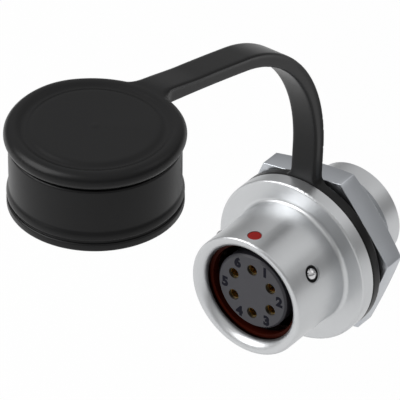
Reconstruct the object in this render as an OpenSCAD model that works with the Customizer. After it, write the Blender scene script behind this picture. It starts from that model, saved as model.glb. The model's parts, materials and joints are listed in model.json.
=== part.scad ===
// Panel-mount circular connector with six socket contacts, a hex clamping nut
// and a moulded sealing cap held by a rubber strap.
// The connector's axis lies along Y: the mating mouth faces -Y, the solder tails +Y,
// the index dot +Z. The origin is on the axis, in the flange's rear face.

/* [Shell] */
// Diameter of the front barrel that the plug slides over
barrel_d = 13.5; // [12.6:0.1:15]
// Length of the front barrel, from the mouth to the flange
barrel_len = 7.85; // [7:0.05:11]
// Wall between the front barrel and the mating bore
barrel_wall = 1.3; // [1.2:0.05:1.6]
// Radius of the outer edge of the mouth
lip_round = 0.25; // [0.1:0.05:0.4]
// Diameter of the flange
flange_d = 18.2; // [17:0.1:21]
// Thickness of the flange
flange_t = 1.55; // [1:0.05:2.5]
// Fillet where the front barrel meets the flange
root_fillet = 0.45; // [0.2:0.05:0.8]
// Rounding of the flange's front edge
flange_round = 0.25; // [0.1:0.05:0.4]
// Outside diameter of the clamping thread
thread_d = 12; // [11.4:0.1:13]
// Depth of the thread below its outside diameter
thread_depth = 0.6; // [0.5:0.05:0.7]
// Distance between the thread's crests
thread_pitch = 0.9; // [0.7:0.05:1.2]
// Thread that shows behind the nut
thread_show = 2.7; // [0.2:0.05:3]
// Wall of the rear barrel
tail_wall = 0.7; // [0.65:0.05:0.8]
// Rear barrel behind the retaining ring
skirt_len = 1.8; // [1:0.1:5]
// Chamfer on the turned edges
edge_chamfer = 0.2; // [0.1:0.05:0.3]

/* [Insert] */
// Depth of the mating channel, measured from the mouth
channel_depth = 6.4; // [5.5:0.1:7]
// Web that the insert seats against
web_t = 1.4; // [1:0.1:2]
// Radial step of the insert's collar behind the web
collar_step = 0.4; // [0.35:0.05:0.6]
// Recess of the insert's face behind the mouth
face_recess = 1.1; // [1:0.1:2]
// Length of the insert's collar
collar_len = 3; // [2:0.1:4]
// Length of the rear insulator
rear_len = 6.1; // [4:0.1:8]
// Thickness of the retaining ring
retainer_t = 0.6; // [0.4:0.05:1]
// Radial width of the retaining ring
retainer_w = 0.95; // [0.8:0.05:1.1]
// Depth of the retaining ring's groove
retainer_bite = 0.3; // [0.2:0.05:0.4]
// Opening of the split retaining ring
retainer_gap = 1.6; // [0.8:0.1:3]

/* [Contacts] */
// Distance from the contact circle to the edge of the insert
contact_margin = 1.6; // [1.4:0.05:1.7]
// Entry hole over each contact
entry_d = 1.2; // [1:0.05:1.3]
// Depth of the entry hole in front of the contact
entry_len = 0.6; // [0.3:0.1:1]
// Diameter of a contact
contact_d = 1.5; // [1.3:0.05:1.7]
// Bore of a contact, for the plug's pin
socket_d = 1; // [0.7:0.05:1.1]
// Depth of the contact's bore
socket_len = 5; // [3:0.1:7]
// Slit between the two spring tines of a contact
slit_w = 0.15; // [0.1:0.05:0.2]
// Diameter of the contact's shoulder
shoulder_d = 2; // [1.9:0.05:2.2]
// Length of the contact's shoulder
shoulder_len = 0.8; // [0.5:0.1:1.2]
// Solder tail that stands out behind the rear barrel
tail_out = 1.8; // [1:0.1:6]
// Depth of the solder cup
cup_len = 3; // [1.5:0.1:4]
// Bore of the solder cup
cup_d = 1.1; // [0.8:0.05:1.15]
// Length of the cup that is cut open
cup_open = 2; // [1:0.1:2.5]

/* [Detent] */
// Diameter of a detent ball
ball_d = 1.35; // [1.2:0.05:1.5]
// Height of a ball above the barrel
ball_stand = 0.25; // [0.15:0.05:0.3]
// Distance of the balls behind the mouth
ball_station = 3.45; // [3.3:0.05:4]
// Angle of the two upper balls from the index dot
ball_angle = 60; // [50:1:70]
// Width of the ring around a ball that is cut flat
ball_rim = 0.325; // [0.1:0.025:0.35]
// Thickness of the spring band under the balls
spring_t = 0.15; // [0.1:0.05:0.2]
// Width of the spring band
spring_w = 1.2; // [0.8:0.1:1.4]
// Opening of the split spring band
spring_gap = 1.2; // [0.6:0.1:3]
// Width of the seal in the mouth
seal_w = 0.95; // [0.6:0.05:1.1]
// Height of the seal above the mating bore
seal_stand = 0.35; // [0.2:0.05:0.5]
// Depth of the seal's groove
seal_seat = 0.2; // [0.1:0.05:0.3]
// Start of the seal's groove behind the bore's rim
seal_inset = 0.3; // [0.2:0.05:0.4]
// Diameter of the red index dot
dot_d = 1.4; // [1:0.1:1.8]
// Distance of the dot behind the mouth
dot_station = 1.5; // [1.2:0.1:1.8]
// Depth of the dot's paint
dot_depth = 0.35; // [0.2:0.05:0.5]

/* [Nut and seals] */
// Width of the nut across its flats
nut_af = 17; // [16:0.5:20]
// Thickness of the nut
nut_t = 3; // [2:0.1:4.5]
// Angle of the chamfer on the nut's rear edge
nut_chamfer_angle = 15; // [12:1:30]
// Radial run of that chamfer inside the nut's flats
nut_chamfer_in = 1.2; // [0:0.1:1.5]
// Turn of the nut from flat-up
nut_turn = -8; // [-30:1:30]
// Radial width of the panel gasket
gasket_w = 2.1; // [1:0.1:2.3]
// Thickness of the panel gasket
gasket_t = 0.37; // [0.3:0.01:1]

/* [Strap] */
// Thickness of the strap's ring
ring_t = 1.35; // [1:0.05:2]
// Width of the strap
strap_w = 3.3; // [2:0.05:5]
// Thickness of the strap where it leaves the ring
strap_root_t = 1.3; // [0.8:0.05:1.35]
// Thickness of the strap where it meets the cap head
strap_end_t = 1.65; // [1.2:0.05:2]
// Backward lean of the strap where it leaves the ring
strap_lean = 5.6; // [0:0.1:15]
// Straight stretch above the ring
strap_rise = 3.3; // [0.2:0.1:6]
// Radius of the strap's main bend, on its outer face
bend_r = 17.25; // [15:0.05:30]
// Angle from upright at which the main bend ends
bend_angle = 74.6; // [60:0.1:80]
// Radius of the strap's flat sweep towards the cap
sweep_r = 300; // [40:10:400]
// Turn of the flat sweep
sweep_angle = 2.8; // [1:0.1:8]
// Fillets at the ring's root of the strap
ring_fillet = 0.9; // [0.5:0.1:2.5]
// Fillets at the cap's root of the strap
head_fillet = 2.5; // [1:0.1:4]

/* [Cap] */
// Thickness of the cap head
head_t = 1.4; // [1.2:0.05:2.5]
// Height of the cap head's top over the end of the strap
head_step = 0.6; // [0.2:0.05:0.7]
// Overhang of the cap head past the cap's wall
head_over = 0.45; // [0.3:0.05:1]
// Rounding of the cap head's rim
head_round = 0.55; // [0.3:0.05:0.6]
// Distance of the ring groove from the cap head's rim
groove_inset = 1.35; // [1.2:0.05:2]
// Width of the ring groove in the cap head
groove_w = 0.6; // [0.3:0.05:1]
// Depth of the ring groove in the cap head
groove_depth = 0.2; // [0.1:0.05:0.4]
// Gap between the cap head and the cap
cap_gap = 0.6; // [0.5:0.05:1.2]
// Wall of the cap
cap_wall = 1.65; // [1.4:0.05:2.5]
// Depth of the cap's bore
cap_depth = 5.7; // [5:0.05:7]
// Thickness of the cap's top
cap_top_t = 1.3; // [1:0.05:2]
// Height of the lip at the cap's mouth
cap_lip_h = 0.9; // [0.6:0.05:1.2]
// Stand of the lip past the cap's wall
cap_lip_out = 0.2; // [0.2:0.05:0.6]
// Groove between the lip and the bead
cap_groove_h = 0.3; // [0.2:0.05:0.5]
// Height of the bead above the groove
cap_bead_h = 0.7; // [0.4:0.05:1]
// Stand of the bead past the cap's wall
cap_bead_out = 0.2; // [0.2:0.05:0.5]
// Depth of the snap groove for the balls
snap_depth = 0.35; // [0.3:0.05:0.5]
// Width of the snap groove
snap_w = 1.1; // [0.8:0.05:1.3]
// Diameter of the stud that carries the cap
stud_d = 4.4; // [3.5:0.1:5]
// Stand of the stud's mushroom head past the stud
stud_over = 0.75; // [0.5:0.05:1]
// Height of the stud's mushroom head
stud_head_h = 0.9; // [0.6:0.05:1]
// Diameter of the boss between the cap head and the cap
boss_d = 9; // [7.5:0.1:11]
// Thickness of the cap's seal
cap_seal_t = 0.6; // [0.4:0.05:0.7]

/* [Clearances] */
// Radial clearance of turned and moulded fits
fit_gap = 0.05; // [0.03:0.01:0.08]
// Radial clearance of pieces that turn or slide over another
turn_gap = 0.1; // [0.05:0.01:0.1]
// Clearance of rubber pieces from moving neighbours
soft_gap = 0.3; // [0.2:0.05:0.4]

/* [Hidden] */
$fn = 96;
eps = 0.01;

// Shell radii, from the outside in
barrel_r = barrel_d / 2;
bore_r = barrel_r - barrel_wall;
flange_r = flange_d / 2;
thread_r = thread_d / 2;
tail_r = thread_r - thread_depth;
rear_bore_r = tail_r - tail_wall;
collar_r = rear_bore_r - fit_gap;
insert_r = collar_r - collar_step;
web_r = insert_r + fit_gap;
lead_in = barrel_wall - lip_round;

// Stations along the axis
mouth_y = -flange_t - barrel_len;
bore_rim_y = mouth_y + lead_in;
web_y = mouth_y + channel_depth;
seat_y = web_y + web_t;
split_y = seat_y + collar_len;
insert_end_y = split_y + rear_len;
retainer_y = insert_end_y + fit_gap;
retainer_end_y = retainer_y + retainer_t;
nut_y = ring_t + gasket_t;
nut_end_y = nut_y + nut_t;
thread_end_y = nut_end_y + thread_show;
thread_turns = floor((thread_end_y - edge_chamfer - nut_y) / thread_pitch);
shell_end_y = max(retainer_end_y, thread_end_y) + skirt_len;
face_y = mouth_y + face_recess;

// Contacts
contact_count = 6;
contact_circle_r = insert_r - contact_margin;
contact_front_y = face_y + entry_len + fit_gap;
contact_end_y = shell_end_y + tail_out;
contact_step = 360 / contact_count;

// Detent, seal and index dot
ball_y = mouth_y + ball_station;
ball_r = ball_d / 2;
ball_centre_r = barrel_r + ball_stand - ball_r;
ball_hole_r = ball_r + fit_gap;
ball_angles = [ball_angle, -ball_angle, 180];
spring_r = ball_centre_r - ball_r - fit_gap;
spring_bed_r = spring_r + fit_gap;
ball_lip_r = sqrt(pow(ball_r, 2) - pow(ball_r / 3, 2)) + fit_gap / 5;
ball_lip_start = ball_centre_r + ball_r / 3;
ball_lip_end = ball_lip_start + fit_gap;
seal_bed_r = bore_r + seal_seat;
seal_y = bore_rim_y + seal_inset;
dot_y = mouth_y + dot_station;

// Nut, gasket and strap ring
nut_r = nut_af / 2 / cos(30);
nut_bore_r = thread_r + fit_gap;
ring_bore_r = thread_r + turn_gap;

// Strap: its outer face leaves the ring's rear edge, leans back and bends forward
bend_start = [ring_t + strap_rise * sin(strap_lean), flange_r + strap_rise * cos(strap_lean)];
bend_centre = bend_start - bend_r * facing(-strap_lean);
sweep_centre = bend_centre + (bend_r - sweep_r) * facing(bend_angle);
strap_end_angle = bend_angle + sweep_angle;
strap_end = sweep_centre + sweep_r * facing(strap_end_angle);
bend_steps = 48;
sweep_steps = 10;
strap_bite = 2 * head_round;
sweep_reach = strap_bite / sweep_r * 180 / PI;

// Cap, on an upright axis past the end of the strap
cap_bore_r = barrel_r + turn_gap;
cap_r = cap_bore_r + cap_wall;
head_r = cap_r + head_over;
head_y = strap_end[0] - head_r;
head_top_z = strap_end[1] + head_step;
head_z = head_top_z - head_t;
cap_top_z = head_z - cap_gap;
cap_ceiling_z = cap_top_z - cap_top_t;
cap_mouth_z = cap_ceiling_z - cap_depth;
snap_z = cap_ceiling_z - cap_seal_t - ball_station;
stud_r = stud_d / 2;
stud_head_r = stud_r + stud_over;

silver = [0.78, 0.79, 0.80];
nut_grey = [0.66, 0.68, 0.71];
black_rubber = [0.11, 0.11, 0.11];
insert_grey = [0.31, 0.31, 0.33];
gold = [0.80, 0.62, 0.25];
seal_brown = [0.24, 0.07, 0.05];
steel = [0.72, 0.72, 0.74];
index_red = [0.66, 0.12, 0.10];

// Unit vector that faces outwards from the strap at an angle from upright
function facing(angle) = [cos(angle), sin(angle)];

// Thickness of the strap at an angle along its bend
function strap_t(angle) =
    strap_root_t + (strap_end_t - strap_root_t) * (angle + strap_lean) / (strap_end_angle + strap_lean);

// Points of the strap's faces, from the ring to the cap head; inset 1 is the inner face
function bend_points(inset) = [for (i = [0:bend_steps])
    let (angle = -strap_lean + (bend_angle + strap_lean) * i / bend_steps)
    bend_centre + (bend_r - inset * strap_t(angle)) * facing(angle)];
function sweep_points(inset) = [for (i = [1:sweep_steps])
    let (angle = bend_angle + (sweep_angle + sweep_reach) * i / sweep_steps)
    sweep_centre + (sweep_r - inset * strap_t(angle)) * facing(angle)];
function reversed(list) = [for (i = [len(list) - 1:-1:0]) list[i]];

// Turns a shape built along Z so that it lies along the connector's axis
module along_axis() {
    rotate([-90, 0, 0]) children();
}

// Sets a shape on the contact circle, counted clockwise from the top seen from the mouth
module at_contact(index) {
    rotate([0, 0, index * contact_step - 90]) translate([contact_circle_r, 0, 0]) children();
}

// Sets a shape that is built along Z on a radius, at an angle clockwise from the top
module on_radius(angle, station) {
    rotate([0, angle, 0]) translate([0, station, 0]) children();
}

// A ring along the axis, from one station to another
module tube(outer, inner, from, to) {
    translate([0, 0, from]) difference() {
        cylinder(r = outer, h = to - from);
        translate([0, 0, -1]) cylinder(r = inner, h = to - from + 2);
    }
}

// Fillets between a round rim and a bar that leaves it along Y
module root_outline(rim_r, bar_w, fillet) {
    side = bar_w / 2 + fillet;
    reach = sqrt(pow(rim_r + fillet, 2) - pow(side, 2));
    foot = rim_r / (rim_r + fillet);
    difference() {
        translate([-side * foot, reach * foot - eps]) square([2 * side * foot, reach * (1 - foot) + eps]);
        for (hand = [-1, 1]) translate([hand * side, reach]) circle(r = fillet);
    }
}

// Half section of the shell: radius along X, station along Y
module shell_section() {
    difference() {
        union() {
            translate([bore_r, bore_rim_y]) square([barrel_wall, -flange_t - bore_rim_y + eps]);
            translate([bore_r + lead_in, mouth_y + lip_round]) square([lip_round, lead_in]);
            translate([barrel_r - lip_round, mouth_y + lip_round]) circle(r = lip_round);
            intersection() {
                translate([bore_r + lead_in, bore_rim_y]) circle(r = lead_in);
                translate([bore_r, mouth_y]) square([lead_in, lead_in + eps]);
            }
            translate([barrel_r - eps, -flange_t - root_fillet]) difference() {
                square([root_fillet + eps, root_fillet + eps]);
                translate([root_fillet + eps, 0]) circle(r = root_fillet);
            }
            translate([rear_bore_r, -flange_t]) square([flange_r - flange_round - rear_bore_r, flange_t]);
            translate([flange_r - flange_round - eps, -flange_t + flange_round])
                square([flange_round + eps, flange_t - flange_round]);
            translate([flange_r - flange_round, -flange_t + flange_round]) circle(r = flange_round);
            translate([web_r, web_y]) square([bore_r - web_r + eps, web_t]);
            polygon([[rear_bore_r, seat_y], [barrel_r, seat_y], [barrel_r, -flange_t], [thread_r, 0],
                     [thread_r, thread_end_y - edge_chamfer], [thread_r - edge_chamfer, thread_end_y],
                     [tail_r, thread_end_y], [tail_r, shell_end_y - edge_chamfer],
                     [tail_r - edge_chamfer, shell_end_y], [rear_bore_r, shell_end_y]]);
        }
        translate([bore_r - eps, seal_y]) square([seal_seat + eps, seal_w + 2 * fit_gap]);
        translate([bore_r - eps, ball_y - spring_w / 2 - fit_gap])
            square([spring_bed_r - bore_r + eps, spring_w + 2 * fit_gap]);
        translate([rear_bore_r - eps, retainer_y - fit_gap])
            square([retainer_bite + eps, retainer_t + 2 * fit_gap]);
        for (turn = [1:thread_turns])
            translate([thread_r, thread_end_y - edge_chamfer - (turn - 0.5) * thread_pitch])
                polygon([[-thread_depth * 0.8, 0], [eps, -thread_pitch * 0.44], [eps, thread_pitch * 0.44]]);
    }
}

// Stepped hole that holds one ball: its lip is narrower than the ball
module ball_hole() {
    translate([0, 0, bore_r - seal_seat]) cylinder(r = ball_hole_r, h = ball_lip_start - bore_r + seal_seat);
    translate([0, 0, ball_centre_r]) cylinder(r = ball_lip_r, h = ball_r);
    translate([0, 0, ball_lip_end]) cylinder(r = ball_r + ball_rim, h = ball_r);
}

module shell() {
    color(silver) difference() {
        along_axis() rotate_extrude() shell_section();
        for (angle = ball_angles) on_radius(angle, ball_y) ball_hole();
        on_radius(0, dot_y) translate([0, 0, barrel_r - dot_depth]) cylinder(d = dot_d + 2 * fit_gap, h = 1);
    }
}

module hex_nut() {
    face_r = nut_af / 2 - nut_chamfer_in;
    corner_drop = (nut_r - face_r) * tan(nut_chamfer_angle);
    color(nut_grey) along_axis() rotate([0, 0, nut_turn]) difference() {
        intersection() {
            translate([0, 0, nut_y]) cylinder(r = nut_r, h = nut_t, $fn = 6);
            rotate_extrude() polygon([[0, nut_y - 1], [nut_r + 1, nut_y - 1], [nut_r + 1, nut_end_y - corner_drop],
                                      [nut_r, nut_end_y - corner_drop], [face_r, nut_end_y], [0, nut_end_y]]);
        }
        translate([0, 0, nut_y - 1]) cylinder(r = nut_bore_r, h = nut_t + 2);
        translate([0, 0, nut_end_y - thread_depth])
            cylinder(r1 = nut_bore_r - eps, r2 = nut_bore_r + thread_depth, h = thread_depth + eps);
    }
}

module panel_gasket() {
    color(black_rubber) along_axis() tube(ring_bore_r + gasket_w, ring_bore_r, ring_t, nut_y);
}

// Side outline of the strap, station along X and height along Y, swept to a width
module strap_band(width) {
    foot_z = flange_r - ring_t;
    outline = concat([[ring_t, foot_z], [ring_t, flange_r]], bend_points(0), sweep_points(0),
                     reversed(sweep_points(1)), reversed(bend_points(1)), [[ring_t - strap_root_t, foot_z]]);
    rotate([90, 0, 90]) translate([0, 0, -width / 2]) linear_extrude(width) polygon(outline);
}

// Half section of the cap head, its boss and its snap stud
module head_section() {
    groove_r = head_r - groove_inset;
    square_r = head_r - head_round;
    difference() {
        union() {
            square([square_r, head_t]);
            translate([0, head_round]) square([head_r, head_t - 2 * head_round]);
            for (z = [head_round, head_t - head_round]) translate([square_r, z]) circle(r = head_round);
            translate([0, -cap_gap]) square([boss_d / 2, cap_gap + eps]);
            translate([0, -cap_gap - cap_top_t - turn_gap]) square([stud_r, cap_top_t + turn_gap + eps]);
            translate([0, -cap_gap - cap_top_t - turn_gap - stud_head_h])
                polygon([[0, 0], [stud_r, 0], [stud_head_r, stud_head_h * 2 / 3],
                         [stud_head_r, stud_head_h], [0, stud_head_h]]);
        }
        translate([groove_r - groove_w, head_t - groove_depth]) square([groove_w, 1]);
    }
}

module cap_strap() {
    root_w = 2 * flange_r;
    color(black_rubber) difference() {
        union() {
            along_axis() cylinder(r = flange_r, h = ring_t);
            intersection() {
                strap_band(root_w);
                rotate([90, 0, 0]) translate([0, 0, -flange_r]) linear_extrude(2 * flange_r)
                    root_outline(flange_r, strap_w, ring_fillet);
            }
            difference() {
                union() {
                    strap_band(strap_w);
                    intersection() {
                        strap_band(root_w);
                        translate([0, head_y, 0]) linear_extrude(head_top_z + 1)
                            root_outline(head_r, strap_w, head_fillet);
                    }
                }
                translate([0, head_y, 0]) cylinder(r = cap_r + soft_gap, h = head_z);
            }
            translate([0, head_y, head_z]) rotate_extrude() head_section();
        }
        translate([0, -1, 0]) along_axis() cylinder(r = ring_bore_r, h = ring_t + 2);
    }
}

// Half section of the cap: radius along X, height above its mouth along Y
module cap_section() {
    height = cap_depth + cap_top_t;
    groove_top = cap_lip_h + cap_groove_h;
    bead_top = groove_top + cap_bead_h;
    lip_r = cap_r + cap_lip_out;
    bead_r = cap_r + cap_bead_out;
    difference() {
        polygon([[cap_bore_r + edge_chamfer, 0], [lip_r - edge_chamfer, 0], [lip_r, edge_chamfer],
                 [lip_r, cap_lip_h - edge_chamfer], [lip_r - edge_chamfer, cap_lip_h],
                 [cap_r, cap_lip_h], [cap_r, groove_top], [bead_r - edge_chamfer, groove_top],
                 [bead_r, groove_top + edge_chamfer], [bead_r, bead_top], [cap_r, bead_top + cap_bead_out],
                 [cap_r, height - edge_chamfer], [cap_r - edge_chamfer, height],
                 [stud_r + turn_gap, height], [stud_r + turn_gap, cap_depth],
                 [cap_bore_r, cap_depth], [cap_bore_r, edge_chamfer]]);
        translate([cap_bore_r - eps, snap_z - cap_mouth_z - snap_w / 2]) square([snap_depth + eps, snap_w]);
    }
}

module cap_body() {
    color(black_rubber) translate([0, head_y, cap_mouth_z]) rotate_extrude() cap_section();
}

module cap_seal() {
    color(seal_brown) translate([0, head_y, 0])
        tube(cap_bore_r - fit_gap, stud_head_r + soft_gap, cap_ceiling_z - cap_seal_t, cap_ceiling_z);
}

module insulator() {
    color(insert_grey) along_axis() difference() {
        union() {
            translate([0, 0, face_y]) cylinder(r1 = insert_r - edge_chamfer, r2 = insert_r, h = edge_chamfer);
            translate([0, 0, face_y + edge_chamfer]) cylinder(r = insert_r, h = seat_y - face_y - edge_chamfer + eps);
            translate([0, 0, seat_y]) cylinder(r = collar_r, h = collar_len);
        }
        for (i = [0:contact_count - 1]) at_contact(i) {
            translate([0, 0, face_y - 1]) cylinder(d = entry_d, h = entry_len + 2);
            translate([0, 0, face_y + entry_len])
                cylinder(r = contact_d / 2 + fit_gap, h = split_y - face_y - entry_len + 1);
        }
    }
}

module rear_insulator() {
    color(insert_grey) along_axis() difference() {
        translate([0, 0, split_y]) cylinder(r = collar_r, h = rear_len);
        for (i = [0:contact_count - 1]) at_contact(i) {
            translate([0, 0, split_y - 1]) cylinder(r = contact_d / 2 + fit_gap, h = rear_len + 2);
            translate([0, 0, split_y - 1])
                cylinder(r = shoulder_d / 2 + fit_gap, h = shoulder_len + fit_gap + 1);
        }
    }
}

module retaining_ring() {
    outer = rear_bore_r + retainer_bite - fit_gap;
    color(steel) along_axis() difference() {
        tube(outer, outer - retainer_w, retainer_y, retainer_end_y);
        translate([-retainer_gap / 2, 0, retainer_y - 1]) cube([retainer_gap, outer + 1, retainer_t + 2]);
    }
}

module interface_seal() {
    color(seal_brown) along_axis()
        tube(seal_bed_r - fit_gap, bore_r - seal_stand, seal_y + fit_gap, seal_y + fit_gap + seal_w);
}

// One contact: spring socket in front, shoulder between the insulators, solder cup behind
module contact(index) {
    color(gold) along_axis() at_contact(index) difference() {
        union() {
            translate([0, 0, contact_front_y]) cylinder(d = contact_d, h = contact_end_y - contact_front_y);
            translate([0, 0, split_y]) cylinder(d = shoulder_d, h = shoulder_len);
        }
        translate([0, 0, contact_front_y - 1]) cylinder(d = socket_d, h = socket_len + 1);
        translate([-contact_d, -slit_w / 2, contact_front_y - 1]) cube([2 * contact_d, slit_w, socket_len]);
        translate([0, 0, contact_end_y - cup_len]) cylinder(d = cup_d, h = cup_len + 1);
        translate([0, -contact_d, contact_end_y - cup_open]) cube([contact_d, 2 * contact_d, cup_open + 1]);
    }
}

module detent_spring() {
    color(steel) along_axis() difference() {
        tube(spring_r, spring_r - spring_t, ball_y - spring_w / 2, ball_y + spring_w / 2);
        translate([-spring_gap / 2, -bore_r - 1, ball_y - spring_w]) cube([spring_gap, bore_r + 1, 2 * spring_w]);
    }
}

module detent_ball(index) {
    color(steel) on_radius(ball_angles[index], ball_y) translate([0, 0, ball_centre_r]) sphere(r = ball_r);
}

module index_dot() {
    color(index_red) intersection() {
        on_radius(0, dot_y) translate([0, 0, barrel_r - dot_depth]) cylinder(d = dot_d, h = dot_depth);
        translate([0, mouth_y, 0]) along_axis() cylinder(r = barrel_r - fit_gap, h = barrel_len);
    }
}

shell();
hex_nut();
panel_gasket();
cap_strap();
cap_body();
cap_seal();
insulator();
rear_insulator();
retaining_ring();
interface_seal();
for (i = [1:contact_count]) contact(i - 1);
detent_spring();
for (i = [1:len(ball_angles)]) detent_ball(i - 1);
index_dot();
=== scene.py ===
import json
from math import asin, atan2, cos, hypot, pi, radians, sin, sqrt, tan

import bmesh
import bpy
from mathutils import Matrix, Vector


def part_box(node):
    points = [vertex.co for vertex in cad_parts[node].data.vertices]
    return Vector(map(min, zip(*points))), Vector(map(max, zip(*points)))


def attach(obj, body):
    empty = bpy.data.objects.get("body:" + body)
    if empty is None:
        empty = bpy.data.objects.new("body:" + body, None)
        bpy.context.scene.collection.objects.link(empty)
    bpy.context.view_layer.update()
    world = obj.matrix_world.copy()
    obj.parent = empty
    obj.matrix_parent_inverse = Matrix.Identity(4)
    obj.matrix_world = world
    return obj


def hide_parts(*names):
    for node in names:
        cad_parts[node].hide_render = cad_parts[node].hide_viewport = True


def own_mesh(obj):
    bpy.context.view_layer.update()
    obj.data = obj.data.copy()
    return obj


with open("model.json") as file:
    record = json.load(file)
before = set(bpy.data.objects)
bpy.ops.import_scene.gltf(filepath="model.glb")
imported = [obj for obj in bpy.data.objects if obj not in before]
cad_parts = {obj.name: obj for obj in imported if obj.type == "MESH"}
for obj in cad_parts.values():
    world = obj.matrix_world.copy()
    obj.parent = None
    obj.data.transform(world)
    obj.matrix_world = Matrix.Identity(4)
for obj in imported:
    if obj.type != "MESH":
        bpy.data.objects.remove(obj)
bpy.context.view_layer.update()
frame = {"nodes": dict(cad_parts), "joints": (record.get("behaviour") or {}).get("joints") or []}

bl_info = {
    "name": "Panel connector with sealing cap",
    "version": (1, 0, 0),
    "blender": (4, 5, 0),
    "location": "View3D > Sidebar > Connector",
    "description": "Finishes and soft mouldings of a panel-mount circular connector",
    "category": "Object",
}

MM = 0.001
CONTACTS = [f"contact_{number}" for number in range(1, 7)]
BALLS = [f"detent_ball_{number}" for number in range(1, 4)]
ALONG = Vector((0, 1, 0))
UPWARD = Vector((0, 0, 1))

# In millimetres: points nearer than WELD are merged, and points within NEAR of a circle count as on it
WELD = 1e-4
NEAR = 1e-3

# Borders of the zones of painted shade in the finishes, in millimetres, from where a zone begins to where it
# is full
CHANNEL_WALL = (5.5, 5.46)
CHANNEL_FRONT = (-8.44, -8.34)
CHANNEL_REAR = (-1.7, -1.8)
SEAT_RIM = (0.93, 0.86)
SEAT_TOP = (6.74, 6.69)
HOLE_RIM = (0.64, 0.6)

# Shares of its colour that a finish keeps where shade is painted in the ball seats and in the contacts' entry
# holes
SEAT_SHADE = 0.03
HOLE_SHADE = 0.1

# Closeness of the lathe lines, and how fast they change round the axis
LINE_PITCH = 14
LINE_DRIFT = 0.25


def low(node):
    """Lowest corner of a CAD node's box, in millimetres."""
    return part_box(node)[0] / MM


def high(node):
    """Highest corner of a CAD node's box, in millimetres."""
    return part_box(node)[1] / MM


def middle_of(node):
    """Middle of a CAD node's box, in millimetres."""
    return (low(node) + high(node)) / 2


# Shader expressions


class Value:
    """A shader socket that takes part in Python expressions and adds the Math nodes that they need."""

    def __init__(self, recipe, socket):
        self.recipe = recipe
        self.socket = socket

    def _math(self, operation, first, second):
        return self.recipe.node("ShaderNodeMath", {"operation": operation}, {0: first, 1: second})

    def __add__(self, other):
        return self._math("ADD", self, other)

    def __sub__(self, other):
        return self._math("SUBTRACT", self, other)

    def __mul__(self, other):
        return self._math("MULTIPLY", self, other)

    def __pow__(self, other):
        return self._math("POWER", self, other)

    def __radd__(self, other):
        return self._math("ADD", other, self)

    def __rsub__(self, other):
        return self._math("SUBTRACT", other, self)


class Recipe:
    """The nodes of one material or world, built up from expressions."""

    def __init__(self, owner, shader, constants=None):
        owner.use_nodes = True
        self.owner = owner
        self.tree = owner.node_tree
        self.shader = self.tree.nodes[shader]
        for name, constant in (constants or {}).items():
            self.shader.inputs[name].default_value = constant

    def node(self, kind, settings=None, sockets=None, output=0):
        """Adds a node, sets it, fills its sockets with values or links, and gives one output."""
        made = self.tree.nodes.new(kind)
        for name, setting in (settings or {}).items():
            setattr(made, name, setting)
        for key, value in (sockets or {}).items():
            if isinstance(value, Value):
                self.tree.links.new(value.socket, made.inputs[key])
            else:
                made.inputs[key].default_value = value
        return Value(self, made.outputs[output])

    def feed(self, name, value):
        """Links an expression to one of the shader's own sockets."""
        self.tree.links.new(value.socket, self.shader.inputs[name])

    def place(self):
        """Object coordinates in millimetres, as three values."""
        where = self.node("ShaderNodeTexCoord", output="Object")
        return [self.node("ShaderNodeSeparateXYZ", None, {0: where}, axis) * (1 / MM) for axis in "XYZ"]

    def bearing(self, x, z):
        """Angle round the connector's axis, from straight up."""
        return self.node("ShaderNodeMath", {"operation": "ARCTAN2"}, {0: x, 1: z})

    def wrapped(self, angle, half):
        """An angle brought between plus and minus half the step of a ring of equal pieces."""
        return self.node("ShaderNodeMath", {"operation": "WRAP"}, {0: angle, 1: half, 2: -half})

    def noise(self, point, scale, detail=2.0, roughness=0.5):
        """Smooth noise from 0 to 1 at a point given as three values."""
        spot = self.node("ShaderNodeCombineXYZ", None, dict(zip("XYZ", point)))
        return self.node("ShaderNodeTexNoise", None,
                         {"Vector": spot, "Scale": scale, "Detail": detail, "Roughness": roughness}, "Fac")

    def ramp(self, value, start, end, low=0.0, high=1.0):
        """A value eased from low to high between two ends."""
        return self.node("ShaderNodeMapRange", {"interpolation_type": "SMOOTHSTEP"},
                         {"Value": value, "From Min": start, "From Max": end, "To Min": low, "To Max": high})

    def tint(self, factor, first, second):
        """A colour that runs from one colour to another with a value."""
        ends = [colour if isinstance(colour, Value) else (*colour, 1) for colour in (first, second)]
        return self.node("ShaderNodeMix", {"data_type": "RGBA"}, {0: factor, 6: ends[0], 7: ends[1]}, 2)

    def shades(self, factor, colour, darkest, lightest):
        """A colour that runs between two shares of itself with a value."""
        return self.tint(factor, scaled(colour, darkest), scaled(colour, lightest))

    def relief(self, height, depth):
        """Feeds a bump of a depth in metres."""
        self.feed("Normal", self.node("ShaderNodeBump", None, {"Distance": depth, "Height": height}))


def recipe_for(name, constants=None):
    """Starts a new material."""
    return Recipe(bpy.data.materials.new(name), "Principled BSDF", constants)


def scaled(colour, share):
    """A share of a colour, at most white."""
    return [min(1, channel * share) for channel in colour]


def distance(first, second):
    """Length of the slope over two values at right angles."""
    return (first * first + second * second) ** 0.5


def blended(first, second, share):
    """Two patterns mixed, with a share of the second."""
    return first * (1 - share) + second * share


def varied(middle, *patterns):
    """A middle value that patterns from 0 to 1 push up and down, each over its own spread."""
    total = middle - sum(spread for _, spread in patterns) / 2
    for pattern, spread in patterns:
        total = total + pattern * spread
    return total


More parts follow.
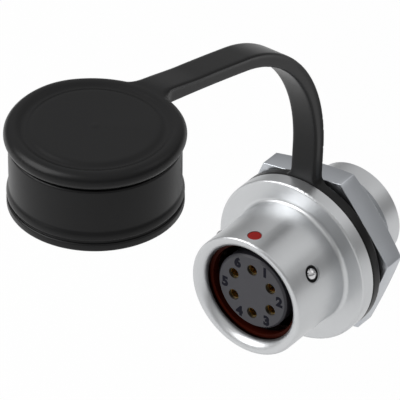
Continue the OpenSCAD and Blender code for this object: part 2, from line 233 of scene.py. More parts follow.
def turned_metal(name, colour, channel_shade, roughness):
    """Satin plating over fine lathe lines round the axis, with painted shade in the channel and the ball
    seats.
    """
    recipe = recipe_for(name, {"Metallic": 1.0})
    x, y, z = recipe.place()
    radius = distance(x, z)
    bearing = recipe.bearing(x, z)
    lines = recipe.noise((y * LINE_PITCH, radius * LINE_PITCH, bearing * LINE_DRIFT), scale=1.0)
    cloud = recipe.noise((x, y, z), scale=0.35, detail=3.0)
    # Painted shade: the plating is darkened to the channel colour in the channel behind the bore's rim
    depth = recipe.ramp(y, *CHANNEL_FRONT) * recipe.ramp(y, *CHANNEL_REAR)
    channel = recipe.ramp(radius, *CHANNEL_WALL) * depth
    # Painted shade: the plating is darkened round the detent balls in their seats
    half = pi / len(BALLS)
    along = y - middle_of("detent_ball_1").y
    across = radius * recipe.wrapped(bearing - half, half)
    seat_shade_mask = recipe.ramp(distance(along, across), *SEAT_RIM) * recipe.ramp(radius, *SEAT_TOP)
    plating = recipe.shades(blended(cloud, lines, share=0.4), colour, darkest=0.93, lightest=1.06)
    shaded = recipe.tint(seat_shade_mask, plating, scaled(colour, SEAT_SHADE))
    recipe.feed("Base Color", recipe.tint(channel, shaded, channel_shade))
    recipe.feed("Roughness", varied(roughness, (lines, 0.1), (cloud, 0.08)))
    recipe.relief(lines, 0.0007 * MM)
    return recipe.owner


def satin_metal(name, colour, roughness):
    """Plating over milled or formed faces, with a fine even grain."""
    recipe = recipe_for(name, {"Metallic": 1.0})
    point = recipe.place()
    grain = recipe.noise(point, scale=16.0, detail=3.0)
    cloud = recipe.noise(point, scale=0.4)
    pattern = blended(cloud, grain, share=0.3)
    recipe.feed("Base Color", recipe.shades(pattern, colour, darkest=0.94, lightest=1.05))
    recipe.feed("Roughness", varied(roughness, (grain, 0.08), (cloud, 0.08)))
    recipe.relief(grain, 0.001 * MM)
    return recipe.owner


def moulded_rubber(name, colour, roughness, gloss):
    """Rubber with a faint bloom and the fine skin of its mould."""
    recipe = recipe_for(name, {"Specular IOR Level": gloss})
    point = recipe.place()
    skin = recipe.noise(point, scale=5.0, detail=4.0, roughness=0.6)
    bloom = recipe.noise(point, scale=0.25, detail=3.0)
    recipe.feed("Base Color", recipe.shades(bloom, colour, darkest=0.85, lightest=1.2))
    recipe.feed("Roughness", varied(roughness, (bloom, 0.14), (skin, 0.06)))
    recipe.relief(skin, 0.004 * MM)
    return recipe.owner


def moulded_plastic(name, colour, roughness):
    """Matt engineering plastic with a slight flow pattern, and painted shade in the contacts' entry holes."""
    recipe = recipe_for(name)
    point = recipe.place()
    x, _, z = point
    grain = recipe.noise(point, scale=9.0, detail=4.0, roughness=0.6)
    flow = recipe.noise(point, scale=0.7)
    # Painted shade: the plastic is darkened on the walls of the contacts' entry holes
    radius = distance(x, z)
    beside = radius - middle_of("contact_1").z
    across = radius * recipe.wrapped(recipe.bearing(x, z), pi / len(CONTACTS))
    hole = recipe.ramp(distance(beside, across), *HOLE_RIM)
    plain = recipe.shades(blended(flow, grain, share=0.3), colour, darkest=0.9, lightest=1.12)
    recipe.feed("Base Color", recipe.tint(hole, plain, scaled(colour, HOLE_SHADE)))
    recipe.feed("Roughness", varied(roughness, (grain, 0.12)))
    recipe.relief(grain, 0.003 * MM)
    return recipe.owner


def paint_film(name, colour, roughness):
    """Thin paint or ink of uneven strength."""
    recipe = recipe_for(name, {"Specular IOR Level": 0.1})
    grain = recipe.noise(recipe.place(), scale=6.0, detail=3.0)
    recipe.feed("Base Color", recipe.shades(grain, colour, darkest=0.8, lightest=1.25))
    recipe.feed("Roughness", varied(roughness, (grain, 0.2)))
    recipe.relief(grain, 0.006 * MM)
    return recipe.owner


# Mesh tools, in millimetres


def lathe(profile, axis, centre, steps=160):
    """Spins a closed profile of radius, height and rounding about an axis, then rounds its edges."""
    shape = bmesh.new()
    side = Vector((1, 0, 0))
    corners = [shape.verts.new(centre + side * radius + axis * height) for radius, height, _ in profile]
    outline = [shape.edges.new(pair) for pair in zip(corners, corners[1:])]
    if profile[-1][0] > 0:
        outline.append(shape.edges.new((corners[-1], corners[0])))
    bmesh.ops.spin(shape, geom=corners + outline, cent=centre, axis=axis, angle=2 * pi, steps=steps,
                   use_merge=True)
    bmesh.ops.remove_doubles(shape, verts=shape.verts, dist=WELD)
    for radius, height, rounding in profile:
        if rounding:
            rim = [edge for edge in shape.edges
                   if all(on_circle(vert.co - centre, axis, radius, height) for vert in edge.verts)]
            round_edges(shape, rim, rounding, segments=5)
    return shape


def on_circle(point, axis, radius, height):
    """Whether a point lies on a circle about an axis."""
    along = point.dot(axis)
    return abs(along - height) < NEAR and abs((point - axis * along).length - radius) < NEAR


def round_edges(shape, edges, width, segments):
    """Rounds edges of a mesh."""
    bmesh.ops.bevel(shape, geom=edges, offset=width, segments=segments, profile=0.5, affect="EDGES",
                    material=-1)


def loft(rings, closed):
    """Extrudes one ring of points into the next; the ends are joined to each other or filled."""
    shape = bmesh.new()
    order = shape.verts.layers.int.new("order")
    corners = [shape.verts.new(point) for point in rings[0]]
    for index, corner in enumerate(corners):
        corner[order] = index
    front = [shape.edges.new(pair) for pair in zip(corners, corners[1:] + corners[:1])]
    for ring in rings[1:]:
        grown = bmesh.ops.extrude_edge_only(shape, edges=front)["geom"]
        fresh = {part for part in grown if isinstance(part, bmesh.types.BMVert)}
        for vert in fresh:
            vert.co = ring[vert[order]]
        front = [part for part in grown
                 if isinstance(part, bmesh.types.BMEdge) and fresh.issuperset(part.verts)]
    if closed:
        bmesh.ops.remove_doubles(shape, verts=shape.verts, dist=WELD)
    else:
        bmesh.ops.holes_fill(shape, edges=shape.edges)
    return shape


def mesh_of(name, shape):
    """Turns a bmesh into a mesh and frees it."""
    mesh = bpy.data.meshes.new(name)
    shape.to_mesh(mesh)
    shape.free()
    return mesh


def joined(shapes):
    """Puts several meshes into one."""
    whole = bmesh.new()
    for shape in shapes:
        part = mesh_of("part", shape)
        whole.from_mesh(part)
        bpy.data.meshes.remove(part)
    return whole


def add_piece(name, shape, body, material, sharp=50):
    """Makes a finished piece of a mesh in millimetres and lets it ride on a body."""
    bmesh.ops.scale(shape, vec=(MM, MM, MM), verts=shape.verts)
    bmesh.ops.recalc_face_normals(shape, faces=shape.faces)
    mesh = mesh_of(name, shape)
    mesh.shade_smooth()
    mesh.set_sharp_from_angle(angle=radians(sharp))
    mesh.materials.append(material)
    piece = bpy.data.objects.new(name, mesh)
    bpy.context.scene.collection.objects.link(piece)
    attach(piece, body)
    return piece


def evaluated_mesh(holder):
    """The mesh that an object's modifiers or lettering result in."""
    return bpy.data.meshes.new_from_object(holder.evaluated_get(bpy.context.evaluated_depsgraph_get()))


def settle(piece):
    """Keeps the result of a piece's modifiers as its mesh."""
    mesh = evaluated_mesh(piece)
    piece.modifiers.clear()
    piece.data = mesh


def eased(value, start, end):
    """0 at start, 1 at end, with a soft run between them."""
    share = min(1, max(0, (value - start) / (end - start)))
    return share * share * (3 - 2 * share)


# Settings


def colour_of(name, default):
    """A colour setting."""
    return bpy.props.FloatVectorProperty(name=name, description=f"{name} as a linear colour", subtype="COLOR",
                                         size=3, min=0, max=1, default=default)


def length_of(name, description, default):
    """A length setting, with its default in millimetres."""
    return bpy.props.FloatProperty(name=name, description=description, unit="LENGTH", precision=5,
                                   default=default * MM)


def angle_of(name, description, default):
    """An angle setting, with its default in degrees."""
    return bpy.props.FloatProperty(name=name, description=description, subtype="ANGLE",
                                   default=radians(default))


def share_of(name, description, default):
    """A setting from 0 to 1."""
    return bpy.props.FloatProperty(name=name, description=description, subtype="FACTOR", min=0, max=1,
                                   default=default)


class FinishSettings(bpy.types.PropertyGroup):
    """Colours of the finishes, and the painted shade of the shell's channel."""

    shell_colour: colour_of("Plated shell", (0.585, 0.595, 0.605))
    # The channel colour is painted shade in the recess between the bore and the insert
    channel_shade_colour: colour_of("Painted channel shade", (0.024, 0.009, 0.007))
    nut_colour: colour_of("Plated nut", (0.52, 0.54, 0.57))
    rubber_colour: colour_of("Black rubber", (0.0058, 0.0058, 0.0061))
    seal_colour: colour_of("Brown seal", (0.031, 0.0036, 0.0012))
    insert_colour: colour_of("Insert", (0.0285, 0.028, 0.0345))
    ink_colour: colour_of("Number ink", (0.003, 0.003, 0.008))
    gold_colour: colour_of("Gold contacts", (0.95, 0.68, 0.26))
    steel_colour: colour_of("Bright steel", (0.66, 0.66, 0.67))
    index_colour: colour_of("Index paint", (0.22, 0.009, 0.007))


class StrapSettings(bpy.types.PropertyGroup):
    """Sizes of the strap and the cap's head."""

    width: length_of("Strap width", "Width of the strap", 3.3)
    root: length_of("Root thickness", "Thickness of the strap where it leaves the ring", 1.3)
    tip: length_of("End thickness", "Thickness of the strap where it meets the cap's head", 1.65)
    lean: angle_of("Lean", "Backward lean of the strap above the ring", 5.6)
    rise: length_of("Rise", "Straight stretch above the ring", 3.3)
    bend: length_of("Bend", "Radius of the main bend", 17.25)
    bend_angle: angle_of("Bend angle", "Angle at which the main bend ends", 74.6)
    sweep: length_of("Sweep", "Radius of the flat sweep to the cap", 300)
    sweep_angle: angle_of("Sweep angle", "Turn of the flat sweep", 2.8)
    ring_fillet: length_of("Ring fillet", "Fillets at the ring", 0.9)
    head_fillet: length_of("Head fillet", "Fillets at the cap's head", 2.5)
    head_radius: length_of("Head radius", "Radius of the cap's head", 8.95)
    head_dip: length_of("Head dip", "Fall of the head's top towards the strap", 0.3)
    skin: length_of("Skin", "Cell of the moulding's mesh", 0.135)


class StageSettings(bpy.types.PropertyGroup):
    """Camera, floor and lights."""

    azimuth: angle_of("Azimuth", "Camera's turn from straight in front", 36.7)
    elevation: angle_of("Elevation", "Camera's height above the horizon", 35.2)
    distance: length_of("Distance", "Camera's distance from its target", 900)
    field: length_of("Field", "Width of the view at the target", 40.4)
    rim: length_of("Rim", "Setback of the bore's rim from the shell's front", 1.02)
    aim_right: length_of("Aim right", "Target to the right of the bore's rim", -5.2)
    aim_up: length_of("Aim up", "Target above the bore's rim", 9.29)
    floor_gap: length_of("Floor gap", "Space under the strap when it hangs down", 1)
    floor_glow: share_of("Floor glow", "Share of the floor that is plain white", 0.92)
    floor_mirror: share_of("Floor in mirrors", "Share of the floor's glow that shiny faces see", 0.44)


def settings(group):
    """One group of settings of the scene."""
    return getattr(bpy.context.scene, group)


# Operators


def finish(nodes, material):
    """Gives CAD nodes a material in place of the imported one."""
    for node in nodes:
        mesh = frame["nodes"][node].data
        mesh.materials.clear()
        mesh.materials.append(material)


def rubber():
    """The black rubber that the strap, the cap and the gasket share."""
    name, colour = "black_rubber_skin", settings("connector_finish").rubber_colour
    return bpy.data.materials.get(name) or moulded_rubber(name, colour, roughness=0.34, gloss=0.2)


class CONNECTOR_OT_metal(bpy.types.Operator):
    """Finish the turned and formed metal pieces"""

    bl_idname = "connector.metal"
    bl_label = "Metal pieces"

    band: length_of("Spring band", "Thickness of the spring band behind the balls", 0.15)
    opening: length_of("Spring opening", "Opening of the split spring band", 1.2)
    sunk: length_of("Sunk lip", "Depth of a contact's plated lip under the insert's face", 0.3)

    def execute(self, context):
        tones = settings("connector_finish")
        shell = turned_metal("plated_shell", tones.shell_colour, tones.channel_shade_colour, roughness=0.37)
        finish(["shell"], shell)
        gold = satin_metal("gold_plate", tones.gold_colour, roughness=0.26)
        finish(CONTACTS, gold)
        lips = joined([self.lip(node) for node in CONTACTS])
        add_piece("contact_lips", lips, "shell", gold)
        finish(BALLS, satin_metal("polished_ball", tones.steel_colour, roughness=0.16))
        steel = satin_metal("spring_steel", tones.steel_colour, roughness=0.28)
        finish(["retaining_ring"], steel)
        for number, ball in enumerate(BALLS, 1):
            self.spring(ball, f"ball_{number}_press", steel)
        return {"FINISHED"}

    def spring(self, ball, joint, steel):
        """Stretch of the split spring band behind one ball."""
        front, rear = low("detent_spring").y, high("detent_spring").y
        radius = -low("detent_spring").z
        inner = radius - self.band / MM
        middle = middle_of(ball)
        towards = Vector((middle.x, 0, middle.z)).normalized()
        bearing = atan2(towards.x, towards.z)
        split = asin(self.opening / MM / 2 / radius)
        half = pi / len(BALLS)
        start, end = bearing - half, bearing + half
        start, end = (split if abs(start) < split else start), (-split if abs(end) < split else end)
        section = [(inner, front), (radius, front), (radius, rear), (inner, rear)]
        shape = bmesh.new()
        corners = [shape.verts.new((reach * sin(start), station, reach * cos(start)))
                   for reach, station in section]
        face = shape.faces.new(corners)
        bmesh.ops.spin(shape, geom=[face], axis=ALONG, angle=end - start, steps=48)
        piece = add_piece(f"spring_{joint}", shape, "shell", steel)
        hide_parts("detent_spring")
        travel = next(row["range_m"][1] for row in frame["joints"] if row["name"] == joint)
        1 - travel / (radius / 2 * MM)
        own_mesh(piece)

    def lip(self, node):
        """Thin plated lip in the entry hole over one contact."""
        middle = middle_of(node)
        face, mouth = low("insulator").y, low(node).y
        bore, rim = 0.5, 0.57
        start, end = self.sunk / MM, mouth - face
        profile = [(bore, start, 0), (rim, start, 0), (rim, end, 0), (bore, end, 0)]
        return lathe(profile, ALONG, Vector((middle.x, face, middle.z)), steps=40)


class CONNECTOR_OT_nut(bpy.types.Operator):
    """Mill the hex nut with its chamfer and broken edges"""

    bl_idname = "connector.nut"
    bl_label = "Hex nut"

    across: length_of("Across flats", "Width across the flats", 17)
    turn: angle_of("Turn", "Turn from flat-up", -8)
    slope: angle_of("Chamfer", "Angle of the rear chamfer", 15)
    run: length_of("Chamfer run", "Radial run of the chamfer inside the flats", 1.2)
    bore: length_of("Bore", "Radius of the bore", 6.05)
    lead: length_of("Lead-in", "Depth of the bore's rear chamfer", 0.6)
    edge: length_of("Broken edge", "Width of the broken edges", 0.09)

    def execute(self, context):
        front, rear = low("hex_nut").y, high("hex_nut").y
        flat, bore, lead = self.across / MM / 2, self.bore / MM, self.lead / MM
        face = flat - self.run / MM
        steps = 120
        bearings = [2 * pi * step / steps + self.turn for step in range(steps)]

        def circle(radius, station):
            return [Vector((radius * sin(bearing), station, radius * cos(bearing))) for bearing in bearings]

        def hexagon(station):
            rim = [flat / cos((bearing - self.turn + pi / 6) % (pi / 3) - pi / 6) for bearing in bearings]
            return [Vector((radius * sin(bearing), station(radius), radius * cos(bearing)))
                    for radius, bearing in zip(rim, bearings)]

        rings = [circle(bore, front), hexagon(lambda radius: front),
                 hexagon(lambda radius: rear - (radius - face) * tan(self.slope)),
                 circle(face, rear), circle(bore + lead, rear), circle(bore, rear - lead),
                 circle(bore, front)]
        shape = loft(rings, True)
        crease, slack = radians(40), 0.01
        corners = [edge for edge in shape.edges if edge.calc_face_angle(0) > crease
                   and all(hypot(vert.co.x, vert.co.z) > flat - slack for vert in edge.verts)]
        round_edges(shape, corners, self.edge / MM, segments=3)
        plating = satin_metal("plated_nut", settings("connector_finish").nut_colour, roughness=0.36)
        nut = add_piece("milled_nut", shape, "nut", plating, sharp=30)
        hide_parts("hex_nut")
        return {"FINISHED"}


class CONNECTOR_OT_insert(bpy.types.Operator):
    """Finish the insulators, seals and the index dot, and number the contacts"""

    bl_idname = "connector.insert"
    bl_label = "Insert and seals"

    circle: length_of("Number circle", "Radius of the circle that the numbers stand on", 3.4)
    lag: angle_of("Number turn", "Turn of a number past its contact", 27.8)
    size: length_of("Number size", "Height of the numbers' type", 1.5)
    weight: length_of("Number weight", "Growth of the numbers' strokes", 0.1)
    stand: length_of("Ink stand", "Height of the ink over the insert", 0.012)

    def execute(self, context):
        tones = settings("connector_finish")
        plastic = moulded_plastic("insert_plastic", tones.insert_colour, roughness=0.5)
        finish(["insulator", "rear_insulator"], plastic)
        seal = moulded_rubber("brown_seal", tones.seal_colour, roughness=0.5, gloss=0.05)
        finish(["interface_seal", "cap_seal"], seal)
        finish(["index_dot"], paint_film("index_paint", tones.index_colour, roughness=0.4))
        numbers = joined([self.number(place) for place in range(len(CONTACTS))])
        ink = paint_film("number_ink", tones.ink_colour, roughness=0.6)
        add_piece("contact_numbers", numbers, "shell", ink)
        return {"FINISHED"}

    def number(self, place):
        """One number on the insert's face, clockwise past its contact."""
        lettering = bpy.data.curves.new("number", "FONT")
        lettering.body = str(place + 1)
        lettering.size = self.size / MM
        lettering.bevel_depth = self.weight / MM
        lettering.bevel_resolution = 1
        holder = bpy.data.objects.new("number", lettering)
        bpy.context.scene.collection.objects.link(holder)
        mesh = evaluated_mesh(holder)
        bearing = 2 * pi * place / len(CONTACTS) + self.lag
        radius = self.circle / MM
        spot = Vector((radius * sin(bearing), low("insulator").y, radius * cos(bearing)))
        middle = Vector([(min(axis) + max(axis)) / 2 for axis in zip(*(vert.co for vert in mesh.vertices))])
        upright = Matrix.Translation(spot) @ Matrix.Rotation(pi / 2, 4, "X")
        flatten = Matrix.Diagonal((1, 1, self.stand / self.weight, 1))
        mesh.transform(upright @ flatten @ Matrix.Translation(-middle))
        shape = bmesh.new()
        shape.from_mesh(mesh)
        bpy.data.objects.remove(holder)
        bpy.data.curves.remove(lettering)
        bpy.data.meshes.remove(mesh)
        bmesh.ops.remove_doubles(shape, verts=shape.verts, dist=WELD)
        return shape


class CONNECTOR_OT_strap(bpy.types.Operator):
    """Mould the ring, the strap and the cap's head in one piece of rubber"""

    bl_idname = "connector.strap"
    bl_label = "Strap and cap head"

    # In millimetres: the height of the boss under the head, and the roundings of the head's rim and of the
    # strap's upper edges
    boss = 0.6
    rim_rounding = 0.95
    edge_rounding = 0.2

    def execute(self, context):
        sizes = settings("connector_strap")
        self.radius = sizes.head_radius / MM
        self.top = high("cap_strap").z
        self.axis = Vector((0, low("cap_strap").y + self.radius, 0))
        self.under = high("cap_body").z + self.boss
        self.rim, self.rear = -low("shell").z, low("panel_gasket").y
        self.dip = sizes.head_dip / MM
        whole = joined([self.ring(), self.band(sizes), self.head()])
        piece = add_piece("rubber_strap", whole, "strap", rubber())
        skin = piece.modifiers.new("skin", "REMESH")
        skin.mode = "VOXEL"
        skin.voxel_size = sizes.skin
        skin.use_smooth_shade = True
        ease = piece.modifiers.new("ease", "SMOOTH")
        ease.factor = 0.5
        ease.iterations = 4
        settle(piece)
        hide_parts("cap_strap")
        finish(["panel_gasket"], rubber())
        return {"FINISHED"}

    def ring(self):
        """Ring on the shank, from the flange to the gasket."""
        bore, inside, outside = 6.1, 0.1, 0.22
        profile = [(bore, 0, inside), (self.rim, 0, outside),
                   (self.rim, self.rear, outside), (bore, self.rear, inside)]
        return lathe(profile, ALONG, Vector())

    def head(self):
        """Disc with a raised rim and a soft trough, on its boss and snap stud."""
        thick = self.top - self.under
        disc_radius, disc_drop = 6.1, 0.09
        gate_mark = [(0, thick - 0.03, 0), (0.3, thick - 0.04, 0), (0.45, thick - disc_drop, 0)]
        trough_width, trough_depth, steps = 1.8, 0.32, 9
        trough = []
        for step in range(steps + 1):
            share = step / steps
            drop = disc_drop * (1 - share) + trough_depth / 2 * (1 - cos(2 * pi * share))
            trough.append((disc_radius + trough_width * share, thick - drop, 0))
        skirt, skirt_depth = 7.9, 0.42
        rim = [(self.radius, thick, self.rim_rounding), (self.radius, -skirt_depth, 0.8),
               (skirt, -skirt_depth, 0.15), (skirt - 0.3, 0, 0.1)]
        boss_radius, stud, barb = 4.5, 2.2, 2.95
        boss = [(boss_radius, 0, 0.15), (boss_radius, -self.boss, 0), (stud, -self.boss, 0)]
        ceiling = high("cap_seal").z - self.under
        barb_top, barb_edge, tip = ceiling - 0.1, ceiling - 0.4, ceiling - 1.0
        snap = [(stud, barb_top, 0), (barb, barb_top, 0.1), (barb, barb_edge, 0.1), (stud, tip, 0.1),
                (0, tip, 0)]
        shape = lathe([*gate_mark, *trough, *rim, *boss, *snap], UPWARD, self.axis + UPWARD * self.under)
        dip_start, dip_end = self.radius * 0.3, self.radius * 0.95
        for vert in shape.verts:
            level = min(1, max(0, (vert.co.z - self.under) / thick))
            vert.co.z -= self.dip * eased(vert.co.y - self.axis.y, dip_start, dip_end) * level
        return shape

    def path(self, sizes):
        """Points of the strap's outer face from the ring to the head, each with the angle that it faces."""
        lean, turn = sizes.lean, sizes.bend_angle
        bend, sweep, rise = sizes.bend / MM, sizes.sweep / MM, sizes.rise / MM
        rooted, bite = 1.3, 1.6
        end = turn + sizes.sweep_angle + bite / sweep
        foot = Vector((0, self.rear, self.rim - rooted))
        start = Vector((0, self.rear + rise * sin(lean), self.rim + rise * cos(lean)))
        bend_centre = start - bend * self.facing(-lean)
        sweep_centre = bend_centre + (bend - sweep) * self.facing(turn)
        rise_steps, bend_steps, sweep_steps = 12, 60, 40
        path = [(foot.lerp(start, step / rise_steps), -lean) for step in range(rise_steps)]
        for step in range(bend_steps):
            angle = -lean + (turn + lean) * step / bend_steps
            path.append((bend_centre + bend * self.facing(angle), angle))
        for step in range(sweep_steps + 1):
            angle = turn + (end - turn) * step / sweep_steps
            path.append((sweep_centre + sweep * self.facing(angle), angle))
        return path

    def band(self, sizes):
        """The strap itself: its section follows the path, flares into the ring and eases into the head."""
        path = self.path(sizes)
        lean, end = sizes.lean, path[-1][1]
        root, tip = sizes.root / MM, sizes.tip / MM
        crest, softness = self.top - self.dip - 0.02, 0.02
        lift = crest - min(path, key=lambda step: abs(step[0].y - self.axis.y - self.radius))[0].z
        lift_run = self.radius + 6.5, self.radius - 0.5
        tuck, tuck_run = self.under + 0.15, (self.radius + 0.35, self.radius)
        edge_run = self.radius + 1.7, self.radius - 0.6
        head_zone, ring_zone = self.radius + 7, self.rim + 6
        rings = []
        for outer, angle in path:
            thick = root + (tip - root) * (angle + lean) / (end + lean)
            inner = outer - thick * self.facing(angle)
            gap = outer.y - self.axis.y
            half, edge = sizes.width / MM / 2, self.edge_rounding
            if gap < head_zone:
                drop = crest - outer.z - lift * eased(gap, *lift_run)
                outer.z = crest - (drop + sqrt(drop * drop + softness)) / 2
                inner.z += eased(gap, *tuck_run) * max(0, tuck - inner.z)
                half = self.flare(gap, self.radius, half, sizes.head_fillet / MM)
                edge += (self.rim_rounding - self.edge_rounding) * eased(gap, *edge_run)
            elif outer.z < ring_zone:
                half = self.flare(outer.z, self.rim, half, sizes.ring_fillet / MM)
            rings.append([self.outside(point) for point in self.section(outer, inner, half, edge, sizes)])
        return loft(rings, False)

    def outside(self, point):
        """Keeps a point of the strap's end out on the head's rim."""
        reach = Vector((point.x, point.y - self.axis.y))
        least = self.radius - self.rim_rounding
        if reach.length >= least:
            return point
        reach.length = least
        return Vector((reach.x, self.axis.y + reach.y, point.z))

    def facing(self, angle):
        """Direction at an angle up from level, in the strap's plane."""
        return Vector((0, cos(angle), sin(angle)))

    def flare(self, reach, rim, half, fillet):
        """Half width of the strap where its fillets run into a round rim."""
        side = half + fillet
        far = sqrt((rim + fillet) ** 2 - side ** 2)
        drop = min(max(far - reach, 0), far * fillet / (rim + fillet))
        return side - sqrt(fillet ** 2 - drop ** 2)

    def margin(self, across, gap, half, sizes):
        """Distance of a point on the strap's top from the outline of the strap, its fillets and the head."""
        fillet = sizes.head_fillet / MM
        side = sizes.width / MM / 2 + fillet
        far = sqrt((self.radius + fillet) ** 2 - side ** 2)
        if gap >= far:
            return half - across
        return max(self.radius - hypot(across, gap), hypot(side - across, far - gap) - fillet)

    def section(self, outer, inner, half, edge, sizes):
        """Rounded outline across the strap, a little narrower under its upper edges."""
        narrow, below, least, foot = 0.15, 0.16, 0.3, 0.22
        top_steps, foot_steps = 12, 4
        depth = (inner - outer).length
        down = (inner - outer) / depth
        side = []
        for step in range(1, top_steps + 1):
            across = half * sin(pi / 2 * step / top_steps)
            short = edge - min(edge, max(0, self.margin(across, outer.y - self.axis.y, half, sizes)))
            side.append((across, edge - sqrt(edge ** 2 - short ** 2)))
        side.append((half - narrow, min(edge + below, depth - least)))
        for step in range(foot_steps + 1):
            turn = pi / 2 * step / foot_steps
            side.append((half - narrow - foot + foot * cos(turn), depth - foot + foot * sin(turn)))
        side += [(-across, inset) for across, inset in reversed(side)]
        return [outer + down * inset + Vector((across, 0, 0)) for across, inset in side]


class CONNECTOR_OT_cap(bpy.types.Operator):
    """Mould the sealing cap with its bead, groove and lip"""

    bl_idname = "connector.cap"
    bl_label = "Sealing cap"

    wall: length_of("Wall radius", "Outside radius of the cap's wall", 8.5)
    lip: length_of("Lip radius", "Outside radius of the lip and the bead", 8.7)
    bore: length_of("Bore radius", "Radius of the cap's bore", 6.85)
    top: length_of("Top", "Thickness of the cap's top", 1.3)

    def execute(self, context):
        foot, crown = low("cap_body"), high("cap_body")
        height = crown.z - foot.z
        wall, lip, bore = self.wall / MM, self.lip / MM, self.bore / MM
        neck, lip_top, bead_foot, bead_top, bead_end = wall - 0.05, 0.9, 1.2, 1.85, 2.2
        outside = [(lip, 0, 0.25), (lip, lip_top, 0.2), (neck, lip_top, 0.06), (neck, bead_foot, 0.06),
                   (lip, bead_foot, 0.25), (lip, bead_top, 0.3), (wall - 0.03, bead_end, 0.15),
                   (wall, height, 0.3)]
        hole, ceiling = 2.3, height - self.top / MM
        groove, groove_foot, groove_top = bore + 0.35, 1.1, 2.2
        inside = [(hole, height, 0), (hole, ceiling, 0.1), (bore, ceiling, 0.15), (bore, groove_top, 0.1),
                  (groove, groove_top, 0.1), (groove, groove_foot, 0.1), (bore, groove_foot, 0.1)]
        profile = [(bore, 0, 0.2), *outside, *inside]
        centre = Vector((0, (foot.y + crown.y) / 2, foot.z))
        piece = add_piece("rubber_cap", lathe(profile, UPWARD, centre), "cap", rubber())
        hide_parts("cap_body")
        return {"FINISHED"}


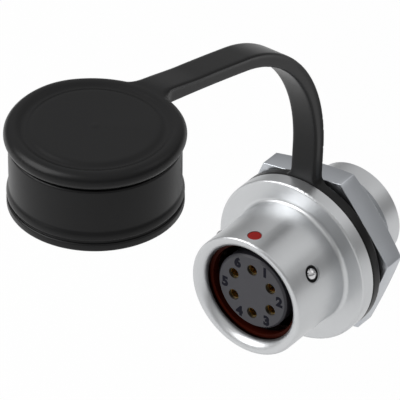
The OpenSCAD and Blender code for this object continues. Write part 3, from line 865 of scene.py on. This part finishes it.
class CONNECTOR_OT_stage(bpy.types.Operator):
    """Set up the camera, the pale floor and the soft light"""

    bl_idname = "connector.stage"
    bl_label = "Stage"

    def execute(self, context):
        stage = settings("connector_stage")
        scene = context.scene
        scene.view_settings.view_transform = "Standard"
        self.camera(scene, stage)
        self.floor(scene, stage)
        self.world(scene)
        self.light(scene, "key_light", Vector((-0.27, -0.30, 0.35)), width=0.42, radiance=4.0)
        self.light(scene, "fill_light", Vector((0.30, 0.22, 0.42)), width=0.30, radiance=0.6)
        return {"FINISHED"}

    def stand(self, scene, thing, spot, towards):
        """Puts a camera or a lamp at a spot, looking in a direction."""
        thing.location = spot
        thing.rotation_mode = "QUATERNION"
        thing.rotation_quaternion = towards.to_track_quat("-Z", "Y")
        scene.collection.objects.link(thing)

    def camera(self, scene, stage):
        """Camera on the photographed side."""
        turn, rise = stage.azimuth, stage.elevation
        right = Vector((cos(turn), sin(turn), 0))
        back = Vector((sin(turn) * cos(rise), -cos(turn) * cos(rise), sin(rise)))
        rim = Vector((0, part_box("shell")[0].y + stage.rim, 0))
        target = rim + right * stage.aim_right + back.cross(right) * stage.aim_up
        data = bpy.data.cameras.new("camera")
        data.sensor_width = 36
        data.lens = data.sensor_width * stage.distance / stage.field
        data.clip_start, data.clip_end = 0.01, 20
        camera = bpy.data.objects.new("camera", data)
        self.stand(scene, camera, target + back * stage.distance, -back)
        scene.camera = camera

    def floor(self, scene, stage):
        """Pale floor that keeps the shadow and is clear from below."""
        recipe = recipe_for("pale_floor", {"Base Color": (0.86, 0.86, 0.86, 1), "Roughness": 0.9})
        camera, glossy = [recipe.node("ShaderNodeLightPath", output=f"Is {ray} Ray")
                          for ray in ("Camera", "Glossy")]
        glow = recipe.node("ShaderNodeEmission")
        matt = Value(recipe, recipe.shader.outputs[0])
        white = (camera + glossy * stage.floor_mirror) * stage.floor_glow
        upper = recipe.node("ShaderNodeMixShader", None, {0: white, 1: matt, 2: glow})
        under = recipe.node("ShaderNodeNewGeometry", output="Backfacing")
        clear = recipe.node("ShaderNodeBsdfTransparent")
        mixed = recipe.node("ShaderNodeMixShader", None, {0: under, 1: upper, 2: clear})
        recipe.tree.links.new(mixed.socket, recipe.tree.nodes["Material Output"].inputs["Surface"])
        shape = bmesh.new()
        bmesh.ops.create_grid(shape, x_segments=1, y_segments=1, size=3)
        reach = hypot(high("cap_strap").z, high("cap_strap").x) * MM
        bmesh.ops.translate(shape, vec=(0, 0, -reach - stage.floor_gap), verts=shape.verts)
        mesh = mesh_of("floor", shape)
        mesh.materials.append(recipe.owner)
        floor = bpy.data.objects.new("floor", mesh)
        scene.collection.objects.link(floor)

    def world(self, scene):
        """A studio that is darker near the horizon; the camera sees it white."""
        scene.world = bpy.data.worlds.new("studio")
        recipe = Recipe(scene.world, "Background", {"Color": (1, 1, 1, 1)})
        heading = recipe.node("ShaderNodeTexCoord", output="Generated")
        height = recipe.node("ShaderNodeSeparateXYZ", None, {0: heading}, "Z")
        camera = recipe.node("ShaderNodeLightPath", output="Is Camera Ray")
        dome = recipe.ramp(height, start=0.05, end=0.9, low=0.25, high=0.75)
        recipe.feed("Strength", camera + (1 - camera) * dome)

    def light(self, scene, name, spot, width, radiance):
        """Square lamp that looks at the part and that the camera doesn't see."""
        aim = Vector((0, -0.015, 0.01))
        data = bpy.data.lights.new(name, "AREA")
        data.size = width
        data.energy = radiance * pi * width * width
        lamp = bpy.data.objects.new(name, data)
        lamp.visible_camera = False
        self.stand(scene, lamp, spot, aim - spot)


class CONNECTOR_PT_panel(bpy.types.Panel):
    """Steps and settings of the connector's looks"""

    bl_label = "Connector"
    bl_idname = "CONNECTOR_PT_panel"
    bl_space_type = "VIEW_3D"
    bl_region_type = "UI"
    bl_category = "Connector"

    def draw(self, context):
        for step in STEPS:
            self.layout.operator(step.bl_idname)
        for group, kind in SETTINGS.items():
            for name in kind.__annotations__:
                self.layout.prop(settings(group), name)


STEPS = (CONNECTOR_OT_metal, CONNECTOR_OT_nut, CONNECTOR_OT_insert, CONNECTOR_OT_strap, CONNECTOR_OT_cap,
         CONNECTOR_OT_stage)
SETTINGS = {"connector_finish": FinishSettings, "connector_strap": StrapSettings,
            "connector_stage": StageSettings}


def register():
    for kind in (*SETTINGS.values(), *STEPS, CONNECTOR_PT_panel):
        bpy.utils.register_class(kind)
    for group, kind in SETTINGS.items():
        setattr(bpy.types.Scene, group, bpy.props.PointerProperty(type=kind))


def unregister():
    for group in SETTINGS:
        delattr(bpy.types.Scene, group)
    for kind in reversed((*SETTINGS.values(), *STEPS, CONNECTOR_PT_panel)):
        bpy.utils.unregister_class(kind)


def main():
    register()
    bpy.ops.connector.metal()
    bpy.ops.connector.nut()
    bpy.ops.connector.insert()
    bpy.ops.connector.strap()
    bpy.ops.connector.cap()
    bpy.ops.connector.stage()


if __name__ == "__main__":
    main()
